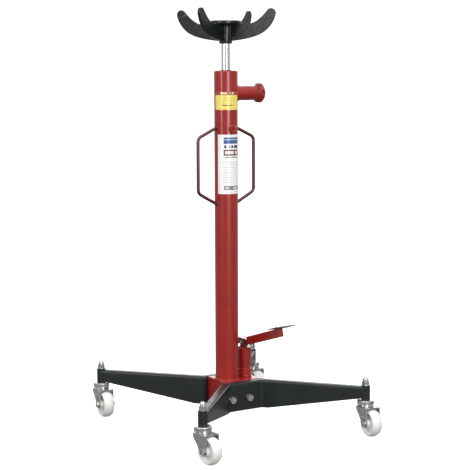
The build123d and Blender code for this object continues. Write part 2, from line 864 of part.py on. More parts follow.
# ================================ foot pump ================================
spring_seat = wheel_dia + 126.0
spring_wire = 1.2
spring_turns = 4
spring_r = 13.0
plunger_r = plunger_dia / 2

with BuildPart() as pump_body:
    with BuildSketch(level(leg_top, 0, pump_y)):
        Circle(pump_dia / 2)
    extrude(amount=pump_shoulder - leg_top)
    chamfer(pump_body.faces().sort_by(Axis.Z)[-1].edges(), length=1)
    with BuildSketch(level(leg_top - 24, 0, pump_y)):
        Circle(15)
    extrude(amount=24)
    with BuildSketch(level(pump_shoulder, 0, pump_y)):
        Circle(pump_dia / 2 - 2.6)
    extrude(amount=spring_seat - pump_shoulder)
    with BuildSketch(level(leg_top - 24, 0, pump_y)):
        Circle(4)
    extrude(amount=20, mode=Mode.SUBTRACT)
    with BuildSketch(level(leg_top - 16, 0, pump_y)):
        Circle(plunger_r)
    extrude(amount=spring_seat - leg_top + 16, mode=Mode.SUBTRACT)
    with BuildSketch(level(spring_seat - 12, 0, pump_y)):
        Circle(11)
    extrude(amount=12, mode=Mode.SUBTRACT)
save(pump_body, "pump_body")

with BuildPart() as pump_gland:
    with BuildSketch(level(spring_seat - 12, 0, pump_y)):
        Circle(11 - touch)
        Circle(plunger_r + 0.02, mode=Mode.SUBTRACT)
    extrude(amount=11)
save(pump_gland, "pump_gland")

with BuildPart() as pump_plunger:
    with BuildSketch(level(leg_top + 5, 0, pump_y)):
        Circle(plunger_r - running)
    extrude(amount=cap_top - 4 - leg_top - 5)
    chamfer(pump_plunger.faces().sort_by(Axis.Z)[0].edges(), length=1)
save(pump_plunger, "pump_plunger")

with BuildPart() as pump_cap:
    with BuildSketch(level(cap_bottom, 0, pump_y)):
        Circle(pump_dia / 2)
    extrude(amount=cap_top - cap_bottom)
    chamfer(pump_cap.faces().sort_by(Axis.Z)[-1].edges(), length=3)
    with BuildSketch(level(cap_top, 0, pump_y)):
        Circle(plunger_r)
    extrude(amount=button_top - cap_top)
    with BuildSketch(level(cap_bottom, 0, pump_y)):
        Circle(pump_dia / 2 - 2)
    extrude(amount=cap_top - 4 - cap_bottom, mode=Mode.SUBTRACT)
save(pump_cap, "pump_cap")

spring_height = cap_top - 4 - spring_seat - 2 * spring_wire
with BuildPart() as pump_spring:
    with BuildLine(level(spring_seat + spring_wire, 0, pump_y)) as coil:
        Helix(pitch=spring_height / spring_turns, height=spring_height, radius=spring_r)
    with BuildSketch(Plane(coil.line @ 0, z_dir=coil.line % 0)):
        Circle(spring_wire - 0.02)
    sweep(is_frenet=True)
save(pump_spring, "pump_spring")


# ================================ pedal ================================
roller_r = 8.0
roller_z = button_top + roller_r + 0.15
rest_rise = asin(pump_stroke / 2 / -pivot_x)
pivot_z = roller_z - pump_stroke / 2
roller_x = pivot_x - pivot_x * cos(rest_rise)
ear_inner = 14 + swing
ear_thickness = 5.0
pin_r = 5.0
boss_r = 9.0

with BuildPart() as pedal_bracket:
    for start in (pump_y - ear_inner, pump_y + ear_inner + ear_thickness):
        with BuildSketch(across(start)):
            with BuildLine():
                Polyline(
                    (pivot_x - boss_r, leg_top),
                    (pivot_x + boss_r, leg_top),
                    (pivot_x + boss_r, pivot_z),
                    (pivot_x - boss_r, pivot_z),
                    close=True,
                )
            make_face()
        extrude(amount=ear_thickness)
        with BuildSketch(across(start, pivot_x, pivot_z)):
            Circle(boss_r)
        extrude(amount=ear_thickness)
    with BuildSketch(across(pump_y + ear_inner)):
        with BuildLine():
            Polyline(
                (pivot_x - boss_r, leg_top),
                (pivot_x - boss_r + 4, leg_top),
                (pivot_x - boss_r + 4, pivot_z - 17),
                (pivot_x - boss_r, pivot_z - 17),
                close=True,
            )
        make_face()
    extrude(amount=2 * ear_inner)
    with BuildSketch(across(pump_y + 30, pivot_x, pivot_z)):
        Circle(pin_r + running)
    extrude(amount=60, mode=Mode.SUBTRACT)
save(pedal_bracket, "pedal_bracket")

pin_half = ear_inner + ear_thickness + 3.5
with BuildPart() as pivot_pin:
    with BuildSketch(across(pump_y + pin_half, pivot_x, pivot_z)):
        Circle(pin_r)
    extrude(amount=2 * pin_half)
    for y in (pump_y + pin_half - 1.6, pump_y - pin_half + 3.0):
        with BuildSketch(across(y, pivot_x, pivot_z)):
            Circle(pin_r + 1)
            Circle(pin_r - 0.8, mode=Mode.SUBTRACT)
        extrude(amount=1.4, mode=Mode.SUBTRACT)
    for y in (pump_y + pin_half - 1.7, pump_y - pin_half + 2.9):
        with BuildSketch(across(y, pivot_x, pivot_z)):
            Circle(8.5)
            Circle(pin_r - 0.7, mode=Mode.SUBTRACT)
            with BuildLine():
                Polyline((0, 0), (6, -12), (-6, -12), close=True)
            make_face(mode=Mode.SUBTRACT)
        extrude(amount=1.2)
save(pivot_pin, "pivot_pin")

with BuildPart() as pedal_cheeks:
    for start in (pump_y - 9, pump_y + 14):
        with BuildSketch(across(start)):
            with BuildLine():
                Polyline(
                    (pivot_x, pivot_z - boss_r),
                    (-22, head_bottom),
                    (head_front, head_bottom),
                    (head_front, head_top),
                    (-24, head_top),
                    (pivot_x - 3, pivot_z + boss_r - 0.6),
                    close=True,
                )
            make_face()
        extrude(amount=5)
        with BuildSketch(across(start, pivot_x, pivot_z)):
            Circle(boss_r)
        extrude(amount=5)
    with BuildSketch(across(pump_y + 14)):
        with BuildLine():
            Polyline(
                (-24, head_top - 3),
                (bar_start - touch, head_top - 3),
                (bar_start - touch, head_top),
                (-24, head_top),
                close=True,
            )
        make_face()
    extrude(amount=28)
    with BuildSketch(across(pump_y + 30, pivot_x, pivot_z)):
        Circle(pin_r + running)
    extrude(amount=60, mode=Mode.SUBTRACT)
    with BuildSketch(across(pump_y + 30, roller_x, roller_z)):
        Circle(4)
    extrude(amount=60, mode=Mode.SUBTRACT)
save(pedal_cheeks, "pedal_cheeks")

with BuildPart() as roller_pin:
    with BuildSketch(across(pump_y + 14, roller_x, roller_z)):
        Circle(4 - 0.02)
    extrude(amount=28)
save(roller_pin, "roller_pin")

with BuildPart() as drive_roller:
    with BuildSketch(across(pump_y + 8.7, roller_x, roller_z)):
        Circle(roller_r)
        Circle(4 + running, mode=Mode.SUBTRACT)
    extrude(amount=17.4)
save(drive_roller, "drive_roller")

rise = tan(radians(lever_slope))
bar_mid_z = wheel_dia + 178.75
half_drop = bar_height / 2 / cos(radians(lever_slope))


def bar_z(x):
    """Height of the bar's centre line above the floor."""
    return bar_mid_z + (x - 32) * rise


with BuildPart() as pedal_bar:
    with BuildSketch(across(pump_y + bar_width / 2)):
        with BuildLine():
            tail = bar_end + half_drop * sin(radians(lever_slope)) * cos(radians(lever_slope)) * 2
            Polyline(
                (bar_start, bar_z(bar_start) - half_drop + 4),
                (bar_start + 5, bar_z(bar_start + 5) - half_drop),
                (tail, bar_z(tail) - half_drop),
                (bar_end, bar_z(bar_end) + half_drop),
                (bar_start, bar_z(bar_start) + half_drop),
                close=True,
            )
        make_face()
    extrude(amount=bar_width)
    long_edges = pedal_bar.edges().filter_by(lambda e: e.length > 150)
    fillet(long_edges, radius=2)
save(pedal_bar, "pedal_bar")

plate_x = bar_end + 9
on_bar = Plane(
    (column_x + plate_x, pump_y, bar_z(plate_x) + half_drop),
    x_dir=(cos(radians(lever_slope)), 0, sin(radians(lever_slope))),
    z_dir=(-sin(radians(lever_slope)), 0, cos(radians(lever_slope))),
)
with BuildPart() as foot_plate:
    with BuildSketch(on_bar):
        RectangleRounded(plate_length, plate_width, 5)
    extrude(amount=plate_thickness)
save(foot_plate, "foot_plate")
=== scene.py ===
import json
import random
from math import atan2, cos, pi, radians, sin, sqrt

import bmesh
import bpy
from mathutils import Matrix, Vector


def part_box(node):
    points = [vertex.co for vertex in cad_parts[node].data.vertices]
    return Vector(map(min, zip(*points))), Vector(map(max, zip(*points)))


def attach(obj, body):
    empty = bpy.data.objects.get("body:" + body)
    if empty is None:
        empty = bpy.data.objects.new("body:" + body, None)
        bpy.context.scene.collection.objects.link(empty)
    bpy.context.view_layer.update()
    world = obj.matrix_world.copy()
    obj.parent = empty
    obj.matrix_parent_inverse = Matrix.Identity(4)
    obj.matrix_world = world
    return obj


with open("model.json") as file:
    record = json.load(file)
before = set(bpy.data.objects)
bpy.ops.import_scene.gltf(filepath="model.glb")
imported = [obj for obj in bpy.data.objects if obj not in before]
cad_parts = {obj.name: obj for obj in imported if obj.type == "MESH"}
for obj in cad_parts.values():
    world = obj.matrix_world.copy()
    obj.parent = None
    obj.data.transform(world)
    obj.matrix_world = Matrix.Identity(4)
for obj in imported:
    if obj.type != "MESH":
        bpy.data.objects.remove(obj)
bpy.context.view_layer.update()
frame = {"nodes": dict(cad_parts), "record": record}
random.seed(7)

# ---- places taken from the frame
column_low, column_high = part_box("column_tube")
AXIS = Vector(((column_low.x + column_high.x) / 2, (column_low.y + column_high.y) / 2, 0))
COLUMN_R = (column_high.x - column_low.x) / 2
BLOCK_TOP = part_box("base_block")[1].z
SLEEVE_R = 0.0135
SLEEVE_WELD = (0.112, 0.139)                       # heights of the seam between leg and sleeve
PUMP_RIBS = (0.1545, 0.1470, 0.1395)               # heights of the turned rings at the pump's foot
SWIVEL_X = 0.314                                   # caster axes and leg bends, from the column axis
LEG_BEND_X = 0.0645
LEGS = ((-0.27, -0.0446), (0.289, 0.0826))         # caster axis y with the y of that leg's bend
HORN_TURN = atan2(0.5106, 0.8598)
HALF_HORN = 0.0055
LEVER_SLOPE = radians(17)
CASTERS = ("front_near", "front_far", "rear_near", "rear_far")


# ================================ material helpers ================================
class Paint:
    """Builds one procedural material node by node."""

    def __init__(self, name):
        self.material = bpy.data.materials.new(name)
        self.material.use_nodes = True
        self.tree = self.material.node_tree
        self.shader = self.tree.nodes["Principled BSDF"]
        self.coords = self.node("ShaderNodeTexCoord").outputs["Object"]

    def node(self, kind, **settings):
        made = self.tree.nodes.new(kind)
        for key, value in settings.items():
            setattr(made, key, value)
        return made

    def link(self, source, target):
        self.tree.links.new(source, target)

    def set(self, **values):
        for key, value in values.items():
            self.shader.inputs[key.replace("_", " ")].default_value = value

    def stretched(self, x, y, z):
        mapping = self.node("ShaderNodeMapping")
        mapping.inputs["Scale"].default_value = (x, y, z)
        self.link(self.coords, mapping.inputs["Vector"])
        return mapping.outputs["Vector"]

    def noise(self, scale, detail=3.0, rough=0.5, vector=None):
        made = self.node("ShaderNodeTexNoise")
        made.inputs["Scale"].default_value = scale
        made.inputs["Detail"].default_value = detail
        made.inputs["Roughness"].default_value = rough
        self.link(vector or self.coords, made.inputs["Vector"])
        return made.outputs["Fac"]

    def remap(self, value, low, high, to_low, to_high):
        made = self.node("ShaderNodeMapRange")
        for key, number in (("From Min", low), ("From Max", high), ("To Min", to_low), ("To Max", to_high)):
            made.inputs[key].default_value = number
        self.link(value, made.inputs["Value"])
        return made.outputs["Result"]

    def math(self, operation, a, b=0.0):
        made = self.node("ShaderNodeMath", operation=operation)
        for index, value in enumerate((a, b)):
            if isinstance(value, (int, float)):
                made.inputs[index].default_value = value
            else:
                self.link(value, made.inputs[index])
        return made.outputs["Value"]

    def blend(self, factor, a, b):
        made = self.node("ShaderNodeMix", data_type="RGBA")
        if isinstance(factor, (int, float)):
            made.inputs[0].default_value = factor
        else:
            self.link(factor, made.inputs[0])
        for index, value in ((6, a), (7, b)):
            if isinstance(value, tuple):
                made.inputs[index].default_value = (*value, 1)
            else:
                self.link(value, made.inputs[index])
        return made.outputs[2]

    def bump(self, height, distance, strength=1.0, under=None):
        made = self.node("ShaderNodeBump")
        made.inputs["Distance"].default_value = distance
        made.inputs["Strength"].default_value = strength
        self.link(height, made.inputs["Height"])
        if under:
            self.link(under, made.inputs["Normal"])
        return made.outputs["Normal"]

    def colour(self, value):
        self.link(value, self.shader.inputs["Base Color"])

    def roughness(self, value):
        self.link(value, self.shader.inputs["Roughness"])

    def normal(self, value):
        self.link(value, self.shader.inputs["Normal"])


def srgb(red, green, blue):
    """Linear colour from 0-255 display values."""
    channels = []
    for value in (red / 255, green / 255, blue / 255):
        channels.append(value / 12.92 if value <= 0.04045 else ((value + 0.055) / 1.055) ** 2.4)
    return tuple(channels)


def gloss_enamel(name, main, shade, coat=0.5, rough=0.34):
    """Sprayed enamel: slight orange peel, faint cloudiness, and fine dust that dulls the gloss."""
    paint = Paint(name)
    cloud = paint.remap(paint.noise(9, 4), 0.35, 0.65, 0, 1)
    speck = paint.remap(paint.noise(420, 2), 0.66, 0.74, 0, 0.5)
    tone = paint.blend(cloud, main, shade)
    dusty = tuple(0.75 * c + 0.06 for c in main)
    paint.colour(paint.blend(speck, tone, dusty))
    paint.roughness(paint.remap(paint.noise(35, 5), 0.3, 0.7, rough - 0.06, rough + 0.08))
    peel = paint.bump(paint.noise(260, 2), 0.00018, 0.5)
    paint.normal(peel)
    paint.set(Coat_Weight=coat, Coat_Roughness=0.14, Specular_IOR_Level=0.4)
    return paint.material


def powder_coat(name, main, shade, rough):
    """Black powder coat: fine pebbled skin, a little cloudiness, and small dusty scuffs."""
    paint = Paint(name)
    cloud = paint.remap(paint.noise(14, 5), 0.35, 0.65, 0, 1)
    tone = paint.blend(cloud, main, shade)
    scuff_noise = paint.noise(3.0, 8, 0.8, paint.stretched(40, 40, 90))
    scuff = paint.remap(scuff_noise, 0.64, 0.72, 0, 0.12)
    worn = tuple(1.6 * c + 0.03 for c in main)
    paint.colour(paint.blend(scuff, tone, worn))
    paint.roughness(paint.remap(paint.noise(60, 4), 0.3, 0.7, rough - 0.04, rough + 0.04))
    pebble = paint.bump(paint.noise(900, 2), 0.0001, 0.5)
    paint.normal(paint.bump(paint.noise(120, 3), 0.00012, 0.2, pebble))
    paint.set(Specular_IOR_Level=0.5)
    return paint.material


def hard_chrome(name):
    """Ground and polished rod: mirror with the faintest bands left by the grinding wheel."""
    paint = Paint(name)
    marks = paint.noise(4, 1, 0.3, paint.stretched(1, 1, 3))
    paint.colour(paint.blend(marks, (0.8, 0.81, 0.83), (0.86, 0.86, 0.87)))
    paint.roughness(paint.remap(marks, 0.3, 0.7, 0.115, 0.125))
    paint.set(Metallic=1.0)
    return paint.material


def zinc(name, main, rough):
    """Bright zinc plate: soft spangle, finger-dulled patches."""
    paint = Paint(name)
    spangle = paint.node("ShaderNodeTexVoronoi")
    spangle.inputs["Scale"].default_value = 260
    paint.link(paint.coords, spangle.inputs["Vector"])
    tint = paint.remap(spangle.outputs["Distance"], 0, 0.6, 0, 1)
    dull = paint.remap(paint.noise(110, 5), 0.4, 0.62, 0, 1)
    bright = paint.blend(tint, main, tuple(1.15 * c for c in main))
    paint.colour(paint.blend(dull, bright, tuple(0.7 * c for c in main)))
    paint.roughness(paint.remap(dull, 0, 1, rough - 0.08, rough + 0.12))
    paint.normal(paint.bump(paint.noise(300, 2), 0.00006, 0.4))
    paint.set(Metallic=1.0)
    return paint.material


def oiled_steel(name, main=(0.3, 0.3, 0.31), rough=0.33):
    """Turned or rolled steel with an oil film: brushed one way, darker blotches."""
    paint = Paint(name)
    brushed = paint.noise(60, 4, 0.6, paint.stretched(1, 30, 30))
    blotch = paint.remap(paint.noise(20, 6), 0.45, 0.62, 0, 0.6)
    tone = paint.blend(brushed, main, tuple(1.5 * c for c in main))
    paint.colour(paint.blend(blotch, tone, tuple(0.55 * c for c in main)))
    paint.roughness(paint.remap(brushed, 0.3, 0.7, rough - 0.08, rough + 0.1))
    paint.normal(paint.bump(brushed, 0.00004, 0.5))
    paint.set(Metallic=1.0)
    return paint.material


def moulded_nylon(name):
    """White nylon: milky, satin, with grey rolling dirt and fine scratches."""
    paint = Paint(name)
    dirt = paint.remap(paint.noise(55, 7, 0.65), 0.52, 0.72, 0, 0.35)
    paint.colour(paint.blend(dirt, srgb(234, 234, 231), srgb(192, 190, 184)))
    paint.roughness(paint.remap(paint.noise(90, 4), 0.3, 0.7, 0.34, 0.5))
    scratch = paint.noise(140, 6, 0.7, paint.stretched(3, 1, 1))
    paint.normal(paint.bump(scratch, 0.00015, 0.3))
    paint.set(Subsurface_Weight=0.15, Subsurface_Scale=0.004)
    paint.shader.inputs["Subsurface Radius"].default_value = (1, 1, 1)
    return paint.material


def seal_rubber(name):
    paint = Paint(name)
    grain = paint.noise(300, 4)
    paint.colour(paint.blend(grain, (0.012, 0.012, 0.013), (0.03, 0.03, 0.031)))
    paint.roughness(paint.remap(grain, 0.3, 0.7, 0.55, 0.75))
    paint.normal(paint.bump(grain, 0.0001, 0.4))
    return paint.material


def bronze(name):
    paint = Paint(name)
    grain = paint.noise(80, 4, 0.6, paint.stretched(1, 1, 12))
    paint.colour(paint.blend(grain, (0.45, 0.27, 0.1), (0.6, 0.4, 0.17)))
    paint.roughness(paint.remap(grain, 0.3, 0.7, 0.25, 0.4))
    paint.normal(paint.bump(grain, 0.00005, 0.5))
    paint.set(Metallic=1.0)
    return paint.material


class Print(Paint):
    """Printed film on the column: blocks are painted by arc length round the column and by height."""

    def __init__(self, name, ground):
        super().__init__(name)
        split = self.node("ShaderNodeSeparateXYZ")
        self.link(self.coords, split.inputs["Vector"])
        across = self.math("SUBTRACT", split.outputs["X"], AXIS.x)
        turn = self.math("ARCTAN2", split.outputs["Y"], across)
        self.arc = self.math("MULTIPLY", turn, COLUMN_R)
        self.height = split.outputs["Z"]
        mottle = self.remap(self.noise(60, 4), 0.35, 0.65, 0, 1)
        self.ink = self.blend(mottle, ground, tuple(0.93 * c for c in ground))

    def inside(self, value, low, high):
        above = self.math("GREATER_THAN", value, low)
        below = self.math("LESS_THAN", value, high)
        return self.math("MULTIPLY", above, below)

    def block(self, left, right, low, high, colour):
        mask = self.math("MULTIPLY", self.inside(self.arc, left, right), self.inside(self.height, low, high))
        self.ink = self.blend(mask, self.ink, colour)

    def dashes(self, left, right, low, high, colour, pitch, seed):
        """A row of uneven plain dashes, as a stand-in for a line of print."""
        cell = self.math("FLOOR", self.math("DIVIDE", self.arc, pitch))
        chance = self.node("ShaderNodeTexWhiteNoise", noise_dimensions="1D")
        self.link(self.math("ADD", cell, seed), chance.inputs["W"])
        gap = self.math("GREATER_THAN", chance.outputs["Value"], 0.24)
        mask = self.math("MULTIPLY", self.inside(self.arc, left, right), self.inside(self.height, low, high))
        self.ink = self.blend(self.math("MULTIPLY", mask, gap), self.ink, colour)

    def done(self):
        self.colour(self.ink)
        self.roughness(self.remap(self.noise(70, 3), 0.3, 0.7, 0.3, 0.42))
        self.normal(self.bump(self.noise(200, 2), 0.00006, 0.3))
        self.set(Coat_Weight=0.35, Coat_Roughness=0.15)
        return self.material


def white_label():
    """White film: plain blue band, rows of dashes, a red panel, and a pale grey strip near the foot."""
    low, high = (corner.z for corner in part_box("column_label"))
    label = Print("label_white", srgb(244, 244, 243))
    left, right = -0.0265, 0.0265
    label.block(left, right, high - 0.027, high - 0.008, srgb(62, 98, 146))
    label.block(left, right, high - 0.016, high - 0.0135, srgb(190, 206, 226))
    label.dashes(left + 0.002, right - 0.002, high - 0.040, high - 0.0315, srgb(48, 52, 58), 0.0031, 3)
    label.block(left, right, high - 0.062, high - 0.0445, srgb(112, 44, 44))
    label.dashes(left + 0.004, right - 0.004, high - 0.058, high - 0.0485, srgb(232, 222, 220), 0.0052, 11)
    label.dashes(left + 0.002, right - 0.002, high - 0.069, high - 0.0655, srgb(104, 96, 96), 0.0012, 5)
    for row in range(9):
        top = high - 0.081 - 0.0075 * row
        label.dashes(left - 0.004, right - 0.003, top - 0.0014, top, srgb(172, 172, 174), 0.0011, 20 + row)
    label.block(left + 0.001, right, low + 0.012, low + 0.024, srgb(120, 121, 126))
    label.dashes(left + 0.004, right - 0.004, low + 0.0155, low + 0.0205, srgb(222, 222, 224), 0.0038, 41)
    label.dashes(left + 0.010, right, low + 0.005, low + 0.0066, srgb(150, 150, 152), 0.0012, 60)
    return label.done()


def yellow_label():
    """Yellow film with a dull red header strip; plain dashes stand in for the print."""
    low, high = (corner.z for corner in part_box("upper_label"))
    label = Print("label_yellow", srgb(246, 226, 116))
    label.block(-0.06, 0.03, high - 0.011, high, srgb(150, 66, 44))
    label.dashes(-0.036, 0.006, high - 0.0085, high - 0.0025, srgb(240, 214, 170), 0.0032, 2)
    for row in range(5):
        top = high - 0.0165 - 0.0056 * row
        label.dashes(-0.043, 0.014, top - 0.0016, top, srgb(186, 158, 62), 0.0013, 9 + row)
    label.dashes(-0.034, 0.006, low + 0.0115, low + 0.0150, srgb(128, 92, 40), 0.0024, 33)
    label.dashes(-0.043, 0.014, low + 0.0040, low + 0.0056, srgb(186, 158, 62), 0.0013, 51)
    return label.done()


# ================================ materials on the CAD nodes ================================
finishes = {
    "red_paint": gloss_enamel("red_enamel", srgb(154, 26, 16), srgb(142, 20, 13)),
    "purple_red_paint": gloss_enamel("purple_red_enamel", srgb(112, 18, 28), srgb(98, 14, 24)),
    "dark_red_paint": gloss_enamel("dark_red_enamel", srgb(88, 22, 22), srgb(74, 18, 18)),
    "red_plastic": gloss_enamel("red_moulding", srgb(142, 20, 18), srgb(130, 16, 15), 0.7, 0.26),
    "black_paint": powder_coat("black_powder_coat", srgb(27, 33, 33), srgb(21, 27, 27), 0.36),
    "horn_paint": powder_coat("black_enamel", srgb(17, 24, 24), srgb(13, 19, 19), 0.27),
    "chrome_rod": hard_chrome("hard_chrome"),
    "zinc_plate": zinc("bright_zinc", (0.64, 0.65, 0.64), 0.26),
    "nylon": moulded_nylon("white_nylon"),
    "bare_steel": oiled_steel("oiled_steel"),
    "bronze": bronze("machined_bronze"),
    "seal_rubber": seal_rubber("black_seal_rubber"),
    "label_yellow": yellow_label(),
    "label_white": white_label(),
}
slot_of = {part["node"]: part["material_slot"] for part in frame["record"]["subparts"]}
for name, node in frame["nodes"].items():
    node.data.materials.clear()
    node.data.materials.append(finishes[slot_of[name]])


def soften(node_names, width, segments=2, angle=32):
    """Rounds the sharp edges of CAD pieces, so they catch light the way pressed and cut steel does."""
    for name in node_names:
        node = frame["nodes"][name]
        join = node.modifiers.new("join", "WELD")
        join.merge_threshold = 0.00001
        ease = node.modifiers.new("ease", "BEVEL")
        ease.width = width
        ease.segments = segments
        ease.limit_method = "ANGLE"
        ease.angle_limit = radians(angle)
        ease.use_clamp_overlap = True
        ease.harden_normals = True


soften(["saddle_horn_" + str(i + 1) for i in range(4)], 0.0022, 3)
soften(["seat_disc", "saddle_hub"], 0.0008)
soften(["caster_fork_" + name for name in CASTERS], 0.0009)
soften(["caster_axle_" + name for name in CASTERS], 0.0006)
soften(["leg_bolts", "stem_nuts"], 0.0007)
soften(["pedal_bar", "pedal_cheeks", "pedal_bracket", "foot_plate"], 0.0006)


# ================================ modelled details ================================
def finish_mesh(name, mesh_builder, body, slot):
    """Turns a bmesh into a piece that rides on a body and wears that slot's finish."""
    mesh = bpy.data.meshes.new(name)
    bmesh.ops.recalc_face_normals(mesh_builder, faces=mesh_builder.faces)
    mesh_builder.to_mesh(mesh)
    mesh_builder.free()
    for polygon in mesh.polygons:
        polygon.use_smooth = True
    piece = bpy.data.objects.new(name, mesh)
    bpy.context.scene.collection.objects.link(piece)
    mesh.materials.append(finishes[slot])
    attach(piece, body)
    return piece


def add_tube(builder, points, radius, closed, sides=12):
    """Sweeps a ring along a path and caps an open one. radius is a function of the index."""
    rings = []
    count = len(points)
    for i, point in enumerate(points):
        ahead = points[(i + 1) % count] if closed or i < count - 1 else point
        behind = points[i - 1] if closed or i > 0 else point
        tangent = (ahead - behind).normalized()
        side = tangent.cross(Vector((0, 0, 1)))
        if side.length < 0.2:
            side = tangent.cross(Vector((0, 1, 0)))
        side.normalize()
        up = side.cross(tangent)
        ring = []
        for k in range(sides):
            a = 2 * pi * k / sides
            ring.append(builder.verts.new(point + radius(i) * (cos(a) * side + sin(a) * up)))
        rings.append(ring)
    spans = count if closed else count - 1
    for i in range(spans):
        first, second = rings[i], rings[(i + 1) % count]
        for k in range(sides):
            builder.faces.new((first[k], first[(k + 1) % sides], second[(k + 1) % sides], second[k]))
    if not closed:
        builder.faces.new(rings[0])
        builder.faces.new(rings[-1][::-1])


def weld(name, paths, radius, body, slot, closed=False, pitch=0.0022):
    """Weld beads: rounded runs with the small overlapping ripples of a hand-laid seam."""
    builder = bmesh.new()
    for path in paths:
        length = sum((b - a).length for a, b in zip(path, path[1:]))
        beats = max(3, round(length / pitch))
        phase = random.random()

        def swell(i, total=len(path), beats=beats, phase=phase):
            wave = (i / total * beats + phase) % 1.0
            end = 1.0 if closed else min(1.0, 0.55 + 0.45 * min(i, total - 1 - i) / 5)
            return radius * end * (0.9 + 0.16 * sqrt(max(0.0, 1 - wave)) + 0.05 * random.random())

        add_tube(builder, path, swell, closed, 10)
    return finish_mesh(name, builder, body, slot)


def straight(a, b, step=0.0006):
    count = max(8, int((b - a).length / step))
    return [a.lerp(b, i / count) for i in range(count + 1)]


def on_column(height, reach_x, reach_z, side, count=160):
    """Closed path where a round bar meets the column on its +Y or -Y side."""
    path = []
    for i in range(count):
        a = 2 * pi * i / count
        x = reach_x * cos(a)
        path.append(Vector((AXIS.x + x, side * sqrt(COLUMN_R ** 2 - x * x), height + reach_z * sin(a))))
    return path


def circle(centre, radius, count=240):
    turns = [2 * pi * i / count for i in range(count)]
    return [centre + radius * Vector((cos(a), sin(a), 0)) for a in turns]


def handle_welds():
    low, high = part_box("near_handle")
    rod_r = (high.x - low.x) / 2
    ends = (high.z - rod_r * 1.05, low.z + rod_r * 1.05)
    rings = [on_column(z, rod_r * 1.02, rod_r * 1.12, side) for z in ends for side in (-1, 1)]
    weld("handle_welds", rings, 0.0019, "frame", "dark_red_paint", closed=True)


def valve_root_weld():
    low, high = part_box("release_valve_housing")
    root_r = (high.x - low.x) / 2
    ring = on_column((low.z + high.z) / 2, root_r, root_r, 1, 260)
    weld("valve_root_weld", [ring], 0.0021, "frame", "red_paint", closed=True)


def column_foot_weld():
    foot = Vector((AXIS.x, AXIS.y, BLOCK_TOP + 0.0008))
    ring = circle(foot, COLUMN_R + 0.0012, 420)
    weld("column_foot_weld", [ring], 0.0026, "frame", "red_paint", closed=True)


def pump_ribs():
    """Turned rings round the foot of the pump."""
    low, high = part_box("pump_body")
    middle = (low + high) / 2
    pump_r = (high.x - low.x) / 2
    ribs = bmesh.new()
    for height in PUMP_RIBS:
        ring = circle(Vector((middle.x, middle.y, height)), pump_r - 0.0002)
        add_tube(ribs, ring, lambda i: 0.0016, True, 8)
    finish_mesh("pump_ribs", ribs, "frame", "red_paint")


def horn_welds():
    """Seams where each horn plate meets the hub and the underside of the seat."""
    hub_low, hub_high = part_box("saddle_hub")
    hub_r = (hub_high.x - hub_low.x) / 2
    seat_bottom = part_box("seat_disc")[0].z
    seam_end = 0.0435
    runs = []
    for quarter in range(4):
        turn = HORN_TURN + quarter * pi / 2
        out = Vector((cos(turn), sin(turn), 0))
        aside = Vector((-sin(turn), cos(turn), 0))
        for side in (-1, 1):
            root = AXIS + out * sqrt(hub_r ** 2 - HALF_HORN ** 2) + aside * side * HALF_HORN
            bottom = root + Vector((0, 0, hub_low.z + 0.009))
            runs.append(straight(bottom, root + Vector((0, 0, seat_bottom - 0.001))))
            inner = AXIS + out * (hub_r + 0.002) + aside * side * HALF_HORN
            outer = AXIS + out * seam_end + aside * side * HALF_HORN
            rise = Vector((0, 0, seat_bottom - 0.0004))
            runs.append(straight(inner + rise, outer + rise))
    weld("horn_welds", runs, 0.0019, "saddle", "horn_paint")


def sleeve_welds():
    """Upright seams where each leg end meets its caster sleeve."""
    runs = []
    for x_side in (-1, 1):
        for y, root_y in LEGS:
            axis = Vector((AXIS.x + x_side * SWIVEL_X, y, 0))
            root = Vector((AXIS.x + x_side * LEG_BEND_X, root_y, 0))
            inward = (root - axis).normalized()
            aside = Vector((-inward.y, inward.x, 0))
            for side in (-1, 1):
                at = axis + inward * 0.0062 + aside * side * (SLEEVE_R - 0.0012)
                bottom, top = (at + Vector((0, 0, z)) for z in SLEEVE_WELD)
                runs.append(straight(bottom, top))
    weld("sleeve_welds", runs, 0.0021, "frame", "black_paint")


def foot_plate_details():
    """Grip ribs across the foot plate, and the seams that hold it on its bar."""
    low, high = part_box("foot_plate")
    bar_low, bar_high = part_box("pedal_bar")
    middle = (low + high) / 2
    ahead = Vector((cos(LEVER_SLOPE), 0, sin(LEVER_SLOPE)))
    up = Vector((-sin(LEVER_SLOPE), 0, cos(LEVER_SLOPE)))
    reach = Vector((0, (high.y - low.y) / 2 - 0.006, 0))
    ribs = []
    for step in range(-3, 4):
        mid = middle + ahead * step * 0.0068 + up * 0.0014
        ribs.append(straight(mid - reach, mid + reach, 0.004))
    weld("foot_plate_ribs", ribs, 0.0009, "pedal", "bare_steel", pitch=0.05)
    runs = []
    for side in (-1, 1):
        edge = middle - up * 0.0017 + Vector((0, side * (bar_high.y - bar_low.y) / 2, 0))
        runs.append(straight(edge - ahead * 0.024, edge - ahead * 0.002))
    weld("foot_plate_welds", runs, 0.0015, "pedal", "red_paint")


handle_welds()
valve_root_weld()
column_foot_weld()
pump_ribs()
horn_welds()
sleeve_welds()
foot_plate_details()


# ================================ stage, light and camera ================================
def plain_material(name, colour, rough, glow):
    """Matt studio surface that also glows a little, so that it stays white."""
    paint = Paint(name)
    paint.colour(paint.blend(paint.noise(3, 2), colour, tuple(0.985 * c for c in colour)))
    paint.set(Roughness=rough, Emission_Color=(1, 1, 1, 1), Emission_Strength=glow)
    return paint.material


